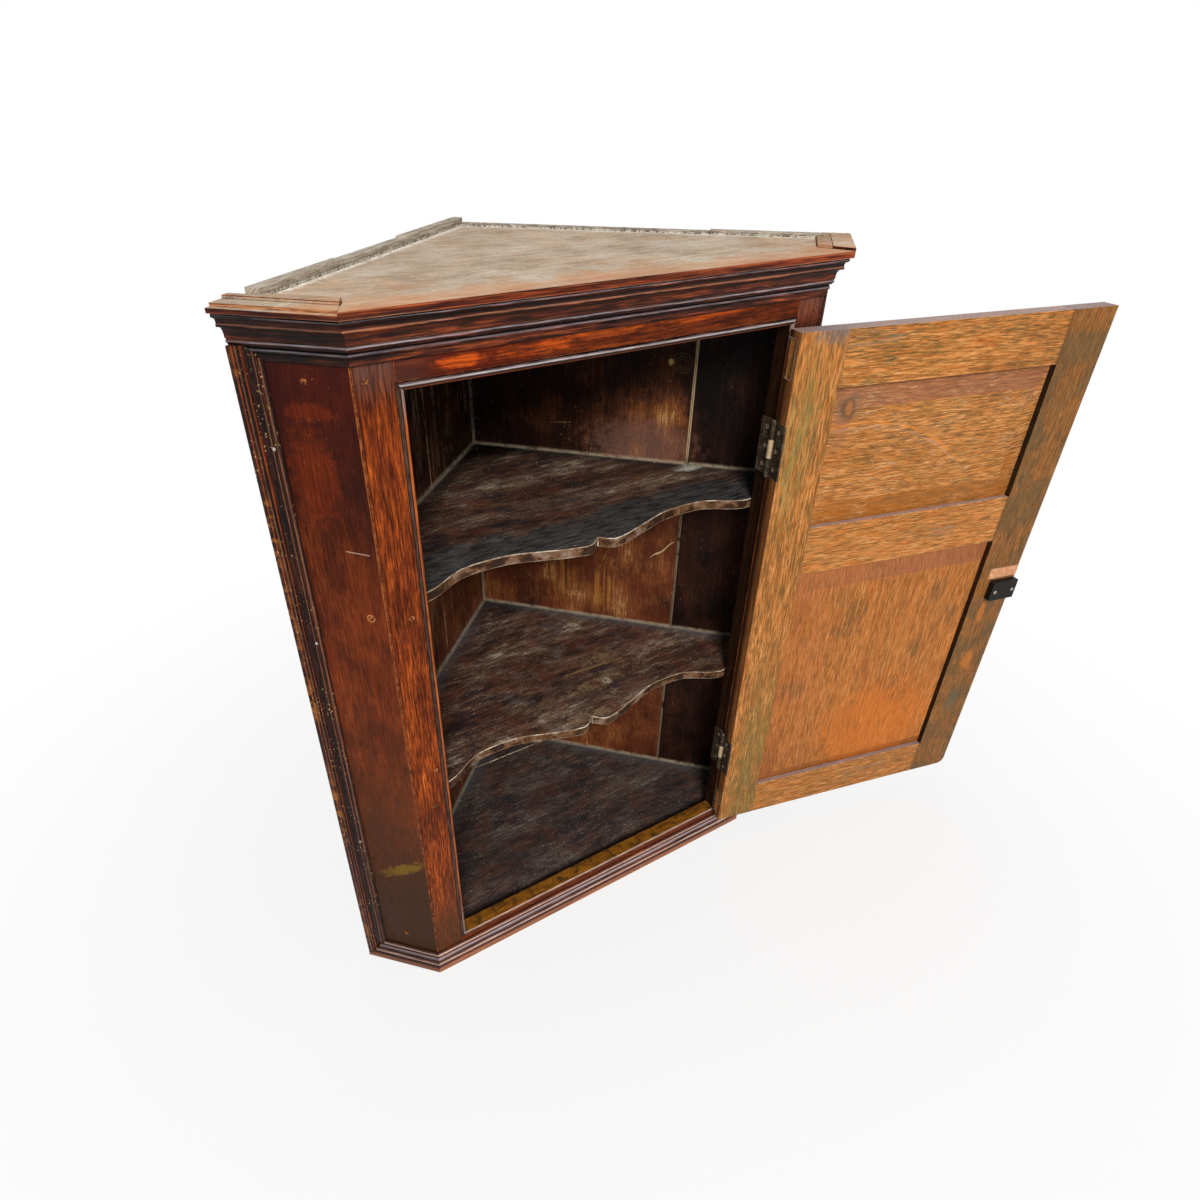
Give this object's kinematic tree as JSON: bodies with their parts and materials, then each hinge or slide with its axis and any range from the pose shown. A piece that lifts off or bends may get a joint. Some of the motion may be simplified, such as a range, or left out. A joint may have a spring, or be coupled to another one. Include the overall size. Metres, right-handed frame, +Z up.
{
  "type": "corner cupboard",
  "caption": "Hanging corner cupboard with canted sides, moulded cornice and base, shaped shelves and a panelled door on butt hinges with a rim lock.",
  "frame": {"origin": "middle of the bottom rail's underside, in the plane that the cupboard stands on", "axes": "+Z up, +Y towards the room corner, -Y out of the front, +X towards the hinges"},
  "size_m": [1.1308, 0.5926, 1.0095],
  "materials": {
    "show_oak": "polished red-brown oak",
    "moulding_oak": "polished dark oak",
    "inner_oak": "dark stained oak, dry",
    "top_oak": "dusty faded oak",
    "door_oak": "golden oak, dry",
    "patch_wood": "new pale wood",
    "iron": "old blackened iron"
  },
  "bodies": {
    "carcass": {"frame_stile_left": "show_oak", "side_return_left": "show_oak", "cornice_left": "moulding_oak", "neck_moulding_left": "moulding_oak", "edge_moulding_left": "moulding_oak", "base_moulding_left": "moulding_oak", "opening_bead_left": "moulding_oak", "frame_stile_right": "show_oak", "side_return_right": "show_oak", "cornice_right": "moulding_oak", "neck_moulding_right": "moulding_oak", "edge_moulding_right": "moulding_oak", "base_moulding_right": "moulding_oak", "opening_bead_right": "moulding_oak", "frame_top_rail": "show_oak", "frame_bottom_rail": "show_oak", "cornice_front": "moulding_oak", "neck_moulding_front": "moulding_oak", "base_moulding_front": "moulding_oak", "opening_bead_top": "moulding_oak", "opening_bead_bottom": "moulding_oak", "back_board_left_1": "inner_oak", "back_board_left_2": "inner_oak", "back_board_left_3": "inner_oak", "back_board_right_1": "inner_oak", "back_board_right_2": "inner_oak", "shelf_upper": "inner_oak", "shelf_lower": "inner_oak", "floor_board_front": "inner_oak", "floor_board_rear": "inner_oak", "top_board": "top_oak", "upper_hinge_frame_leaf": "iron", "upper_hinge_pin": "iron", "upper_hinge_frame_screw_1": "iron", "upper_hinge_frame_screw_2": "iron", "upper_hinge_frame_screw_3": "iron", "lower_hinge_frame_leaf": "iron", "lower_hinge_pin": "iron", "lower_hinge_frame_screw_1": "iron", "lower_hinge_frame_screw_2": "iron", "lower_hinge_frame_screw_3": "iron"},
    "door": {"door_hinge_stile": "door_oak", "door_closing_stile": "door_oak", "door_top_rail": "door_oak", "door_middle_rail": "door_oak", "door_bottom_rail": "door_oak", "door_panel_upper": "door_oak", "door_panel_lower": "door_oak", "lock_packing": "patch_wood", "lock_case": "iron", "escutcheon": "iron", "upper_hinge_door_leaf": "iron", "upper_hinge_door_screw_1": "iron", "upper_hinge_door_screw_2": "iron", "upper_hinge_door_screw_3": "iron", "lower_hinge_door_leaf": "iron", "lower_hinge_door_screw_1": "iron", "lower_hinge_door_screw_2": "iron", "lower_hinge_door_screw_3": "iron"},
    "lock_bolt": {"lock_bolt": "iron"}
  },
  "joints": [
    {"name": "door_swing", "type": "hinge", "parent": "carcass", "child": "door", "pos_m": [0.2465, -0.014, 0.4835], "axis": [0, 0, 1], "range_deg": [-167, 13]},
    {"name": "lock_bolt_slide", "type": "slide", "parent": "door", "child": "lock_bolt", "axis": [0.9744, -0.225, 0], "range_m": [0, 0.008]}
  ]
}
